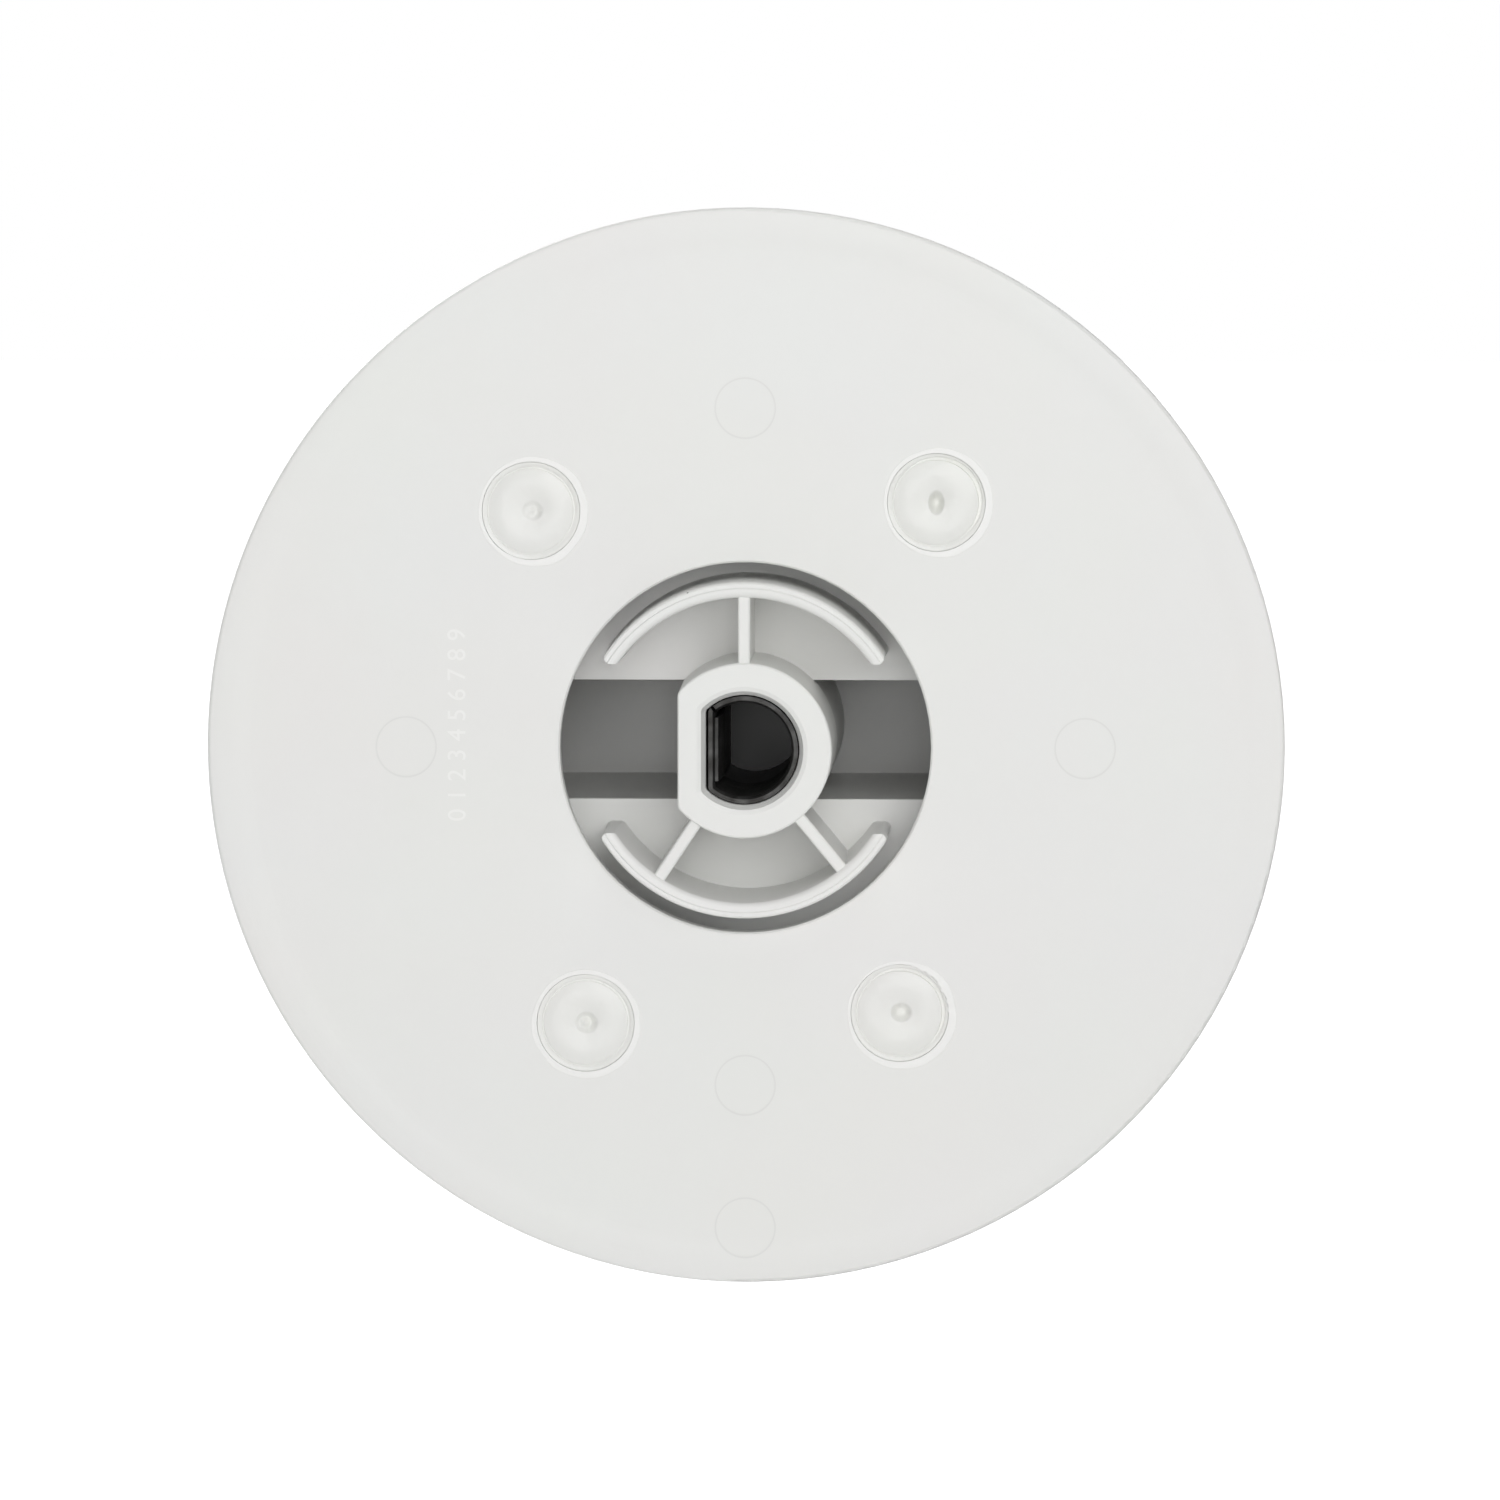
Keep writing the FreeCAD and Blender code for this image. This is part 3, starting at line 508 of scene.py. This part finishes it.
def printed_ink():
    """A dark grey pad-printing ink, satin and a little uneven."""
    material = bpy.data.materials.new("scale_ink")
    material.use_nodes = True
    add = material.node_tree.nodes.new
    link = material.node_tree.links.new
    shader = material.node_tree.nodes["Principled BSDF"]
    skin = add("ShaderNodeGroup")
    skin.node_tree = moulded_skin
    skin.inputs["Colour"].default_value = (*INK, 1)
    skin.inputs["Roughness"].default_value = 0.42
    skin.inputs["Clouding"].default_value = 0.3
    link(skin.outputs["Colour"], shader.inputs["Base Color"])
    link(skin.outputs["Roughness"], shader.inputs["Roughness"])
    bump = add("ShaderNodeBump")
    bump.inputs["Strength"].default_value = 0.12
    bump.inputs["Distance"].default_value = 0.0001
    link(skin.outputs["Height"], bump.inputs["Height"])
    link(bump.outputs["Normal"], shader.inputs["Normal"])
    return material


def cone_depth(r):
    """How far the cone's front surface lies in front of the rim's plane, at radius r."""
    return FACE_SHOULDER[1] - (FACE_SHOULDER[0] - r) * FACE_SLOPE


scale_ink = printed_ink()
finish_node("scale_marks", scale_ink)
bm = bmesh.new()
for minutes in range(0, MINUTES, FIGURE_EVERY):
    printed = letters(str(minutes), FIGURE_SIZE, FIGURE_T)
    turn = 2 * math.pi * minutes / MINUTES
    outward = Vector((math.sin(turn), 0, math.cos(turn)))
    sideways = Vector((math.cos(turn), 0, -math.sin(turn)))
    for vert in printed.vertices:
        across, up, out = vert.co
        spot = outward * (FIGURE_R + up) + sideways * across
        spot.y = cone_depth(spot.length) - out
        vert.co = spot * MM
    bm.from_mesh(printed)
    bpy.data.meshes.remove(printed)
finished_piece("scale_figures", bm, scale_ink, "dial", 30)


# ---- Knob ----
# One white ABS moulding: a flange, a hollow bar for the fingers, the D-shaped hub with its ribs and the
# two collar arcs that centre it in the dial. It came from another tool, with a slightly glossier skin.

BORE_SHADE = (0.0045, 0.0035, 0.003)    # painted shade: the bore below the sleeve, painted almost black where shade falls deep in it
BORE_SHADE_R = 3.45 * MM
BORE_SHADE_TOP = -9.2 * MM     # below the sleeve's foot
BORE_SHADE_FOOT = -22.5 * MM   # inside the bar's roof
HOLLOW_SHADE = (0.66, 0.66, 0.645)    # painted shade: the walls and floor of the hollow bar, painted grey where shade falls deep in it
HOLLOW_SHADE_TOP = -8.0 * MM
HOLLOW_SHADE_FOOT = -24.0 * MM
HOLLOW_SHADE_HALF = 4.3 * MM       # half the hollow's width
HOLLOW_SHADE_R = 17.1 * MM         # from the axis to the hollow's ends
SOFT_EDGE = 0.3 * MM


def mask(add, link, output, none_at, full_at):
    """A soft mask: 0 where the output is at none_at or beyond, 1 where it is at full_at or beyond."""
    ramp = add("ShaderNodeMapRange")
    ramp.interpolation_type = "SMOOTHSTEP"
    ramp.inputs["From Min"].default_value = none_at
    ramp.inputs["From Max"].default_value = full_at
    link(output, ramp.inputs["Value"])
    return ramp.outputs["Result"]


def product(add, link, first, second):
    """The two outputs multiplied."""
    node = add("ShaderNodeMath")
    node.operation = "MULTIPLY"
    link(first, node.inputs[0])
    link(second, node.inputs[1])
    return node.outputs["Value"]


knob_abs = moulded_abs("knob_abs", ABS_WHITE, 0.33, clouding=0.03, grain=0.05)
add = knob_abs.node_tree.nodes.new
link = knob_abs.node_tree.links.new
shader = knob_abs.node_tree.nodes["Principled BSDF"]
base_tone = shader.inputs["Base Color"].links[0].from_socket
place = add("ShaderNodeTexCoord")
flatten = add("ShaderNodeVectorMath")
flatten.operation = "MULTIPLY"
flatten.inputs[1].default_value = (1, 0, 1)
link(place.outputs["Object"], flatten.inputs[0])
radius = add("ShaderNodeVectorMath")
radius.operation = "LENGTH"
link(flatten.outputs["Vector"], radius.inputs[0])
height = add("ShaderNodeSeparateXYZ")
link(place.outputs["Object"], height.inputs["Vector"])
# Painted shade: the bore between the sleeve's foot and the bar's roof is painted almost black.
below_sleeve = mask(add, link, height.outputs["Y"], BORE_SHADE_TOP + SOFT_EDGE, BORE_SHADE_TOP)
above_roof = mask(add, link, height.outputs["Y"], BORE_SHADE_FOOT, BORE_SHADE_FOOT + SOFT_EDGE)
near_axis = mask(add, link, radius.outputs["Value"], BORE_SHADE_R + SOFT_EDGE / 2, BORE_SHADE_R)
bore_shaded = product(add, link, product(add, link, below_sleeve, above_roof), near_axis)
aside = add("ShaderNodeMath")
aside.operation = "ABSOLUTE"
link(height.outputs["Z"], aside.inputs[0])
# Painted shade: the walls and floor of the hollow bar below the flange are painted grey.
below_flange = mask(add, link, height.outputs["Y"], HOLLOW_SHADE_TOP + SOFT_EDGE, HOLLOW_SHADE_TOP)
above_front = mask(add, link, height.outputs["Y"], HOLLOW_SHADE_FOOT, HOLLOW_SHADE_FOOT + SOFT_EDGE)
between_walls = mask(add, link, aside.outputs["Value"], HOLLOW_SHADE_HALF + SOFT_EDGE, HOLLOW_SHADE_HALF)
between_ends = mask(add, link, radius.outputs["Value"], HOLLOW_SHADE_R + SOFT_EDGE, HOLLOW_SHADE_R)
deep = product(add, link, below_flange, above_front)
hollow_shaded = product(add, link, product(add, link, between_walls, between_ends), deep)
# Mixes the hollow bar's painted shade over the colour.
hollow_shade_mix = add("ShaderNodeMix")
hollow_shade_mix.data_type = "RGBA"
hollow_shade_mix.inputs["B"].default_value = (*HOLLOW_SHADE, 1)
link(hollow_shaded, hollow_shade_mix.inputs["Factor"])
link(base_tone, hollow_shade_mix.inputs["A"])
# Mixes the bore's painted shade over the colour.
bore_shade_mix = add("ShaderNodeMix")
bore_shade_mix.data_type = "RGBA"
bore_shade_mix.inputs["B"].default_value = (*BORE_SHADE, 1)
link(bore_shaded, bore_shade_mix.inputs["Factor"])
link(hollow_shade_mix.outputs["Result"], bore_shade_mix.inputs["A"])
link(bore_shade_mix.outputs["Result"], shader.inputs["Base Color"])
finish_node("knob_body", knob_abs)


# ---- Pointer ----
# A dark grey gloss strip pressed into the groove in the bar's front face.

POINTER_GREY = (0.045, 0.047, 0.052)

finish_node("pointer_inlay", moulded_abs("pointer_abs", POINTER_GREY, 0.2, clouding=0.2, grain=0.03))


# ---- Shaft sleeve and leaf spring ----
# A strip of dark, oiled spring steel rolled to a D, pressed into the bore, and a thinner leaf that the
# shaft's flat slides under.

STEEL_DARK = (0.050, 0.049, 0.047)
STEEL_PALE = (0.115, 0.115, 0.112)


def oiled_steel():
    """Dark, oiled strip: blotched in tone, and finely streaked along the way it was drawn."""
    material = bpy.data.materials.new("oiled_steel")
    material.use_nodes = True
    add = material.node_tree.nodes.new
    link = material.node_tree.links.new
    shader = material.node_tree.nodes["Principled BSDF"]
    shader.inputs["Metallic"].default_value = 0.9
    place = add("ShaderNodeTexCoord")
    stretch = add("ShaderNodeMapping")
    stretch.inputs["Scale"].default_value = (1.0, 0.12, 1.0)
    link(place.outputs["Object"], stretch.inputs["Vector"])
    drawn = add("ShaderNodeTexNoise")
    drawn.inputs["Scale"].default_value = 5000.0
    drawn.inputs["Detail"].default_value = 4.0
    link(stretch.outputs["Vector"], drawn.inputs["Vector"])
    blotches = add("ShaderNodeTexNoise")
    blotches.inputs["Scale"].default_value = 900.0
    blotches.inputs["Detail"].default_value = 3.0
    link(place.outputs["Object"], blotches.inputs["Vector"])
    tint = add("ShaderNodeValToRGB")
    tint.color_ramp.elements[0].position = 0.35
    tint.color_ramp.elements[0].color = (*STEEL_DARK, 1)
    tint.color_ramp.elements[1].position = 0.7
    tint.color_ramp.elements[1].color = (*STEEL_PALE, 1)
    link(blotches.outputs["Fac"], tint.inputs["Fac"])
    link(tint.outputs["Color"], shader.inputs["Base Color"])
    gloss = add("ShaderNodeMapRange")
    gloss.inputs["To Min"].default_value = 0.42
    gloss.inputs["To Max"].default_value = 0.65
    link(drawn.outputs["Fac"], gloss.inputs["Value"])
    link(gloss.outputs["Result"], shader.inputs["Roughness"])
    bump = add("ShaderNodeBump")
    bump.inputs["Strength"].default_value = 0.25
    bump.inputs["Distance"].default_value = 0.00002
    link(drawn.outputs["Fac"], bump.inputs["Height"])
    link(bump.outputs["Normal"], shader.inputs["Normal"])
    return material


spring_steel = oiled_steel()
finish_node("shaft_sleeve", spring_steel)
finish_node("leaf_spring", spring_steel)


# ---- Floor ----
# A plain pale floor below the dial, not part of the object.

FLOOR_SIZE = 8
FLOOR_DROP = 0.12

bpy.ops.mesh.primitive_plane_add(size=FLOOR_SIZE, location=(0, 0, -FLOOR_DROP))
floor = bpy.context.object
floor.name = "floor"
floor_paint = bpy.data.materials.new("floor_paint")
floor_paint.use_nodes = True
floor_shader = floor_paint.node_tree.nodes["Principled BSDF"]
floor_shader.inputs["Base Color"].default_value = (0.92, 0.92, 0.92, 1)
floor_shader.inputs["Roughness"].default_value = 0.9
floor_shader.inputs["Emission Color"].default_value = (1, 1, 1, 1)
glow = floor_paint.node_tree.nodes.new("ShaderNodeLightPath")
floor_paint.node_tree.links.new(glow.outputs["Is Camera Ray"], floor_shader.inputs["Emission Strength"])
floor.data.materials.append(floor_paint)


# ---- Studio light ----
# A white tent, brightest behind the camera and dimmest at the sides. Two large soft boxes light the rear,
# a small one hangs over the dial's edge, and another lights the front.

TENT_LEVELS = (            # place from the front, 0, to the rear, 1; brightness
    (0.0, 0.42), (0.3, 0.34), (0.5, 0.20), (0.66, 0.19), (0.85, 0.33), (0.95, 0.46), (1.0, 0.58),
)

world = bpy.data.worlds.new("studio")
bpy.context.scene.world = world
world.use_nodes = True
add = world.node_tree.nodes.new
link = world.node_tree.links.new
way = add("ShaderNodeTexCoord")
split = add("ShaderNodeSeparateXYZ")
link(way.outputs["Generated"], split.inputs["Vector"])
rearward = add("ShaderNodeMapRange")
rearward.inputs["From Min"].default_value = -1.0
link(split.outputs["Y"], rearward.inputs["Value"])
tent = add("ShaderNodeValToRGB")
tent.color_ramp.elements.remove(tent.color_ramp.elements[1])
tent.color_ramp.elements[0].position = TENT_LEVELS[0][0]
tent.color_ramp.elements[0].color = (*[TENT_LEVELS[0][1]] * 3, 1)
for stop, level in TENT_LEVELS[1:]:
    tent.color_ramp.elements.new(stop).color = (level, level, level, 1)
link(rearward.outputs["Result"], tent.inputs["Fac"])
ray = add("ShaderNodeLightPath")
seen = add("ShaderNodeMix")
seen.data_type = "RGBA"
seen.inputs["B"].default_value = (1, 1, 1, 1)
link(ray.outputs["Is Camera Ray"], seen.inputs["Factor"])
link(tent.outputs["Color"], seen.inputs["A"])
link(seen.outputs["Result"], world.node_tree.nodes["Background"].inputs["Color"])


def softbox(name, place, size, power):
    """A square area lamp of the given size, in metres, that points at the row's origin."""
    lamp_data = bpy.data.lights.new(name, "AREA")
    lamp_data.size = size
    lamp_data.energy = power
    lamp = bpy.data.objects.new(name, lamp_data)
    lamp.location = place
    lamp.rotation_euler = (-Vector(place)).to_track_quat("-Z", "Y").to_euler()
    bpy.context.scene.collection.objects.link(lamp)


softbox("rear_key", (-0.22, 0.85, 0.30), 0.50, 2.4)
softbox("rear_fill", (0.05, 0.95, -0.04), 0.35, 1.15)
softbox("overhead", (-0.03, 0.09, 0.22), 0.12, 0.065)
softbox("front_key", (0.42, -0.55, 0.50), 0.3, 3.6)


# ---- Camera ----
# It looks at the rear, from a little above and a little to the right of the shaft's axis.

CAMERA_DISTANCE = 0.6
FRAME_WIDTH = 0.10155
RISE = math.radians(4.6)
SWING = math.radians(2.0)
AIM = Vector((-0.00033, 0.0, -0.000145))

back = Vector((-math.sin(SWING) * math.cos(RISE), math.cos(SWING) * math.cos(RISE), math.sin(RISE)))
camera_data = bpy.data.cameras.new("camera")
camera_data.sensor_width = 36
camera_data.lens = camera_data.sensor_width * CAMERA_DISTANCE / FRAME_WIDTH
camera = bpy.data.objects.new("camera", camera_data)
camera.location = AIM + back * CAMERA_DISTANCE
camera.rotation_euler = (-back).to_track_quat("-Z", "Y").to_euler()
bpy.context.scene.collection.objects.link(camera)
bpy.context.scene.camera = camera
bpy.context.scene.view_settings.view_transform = "Standard"
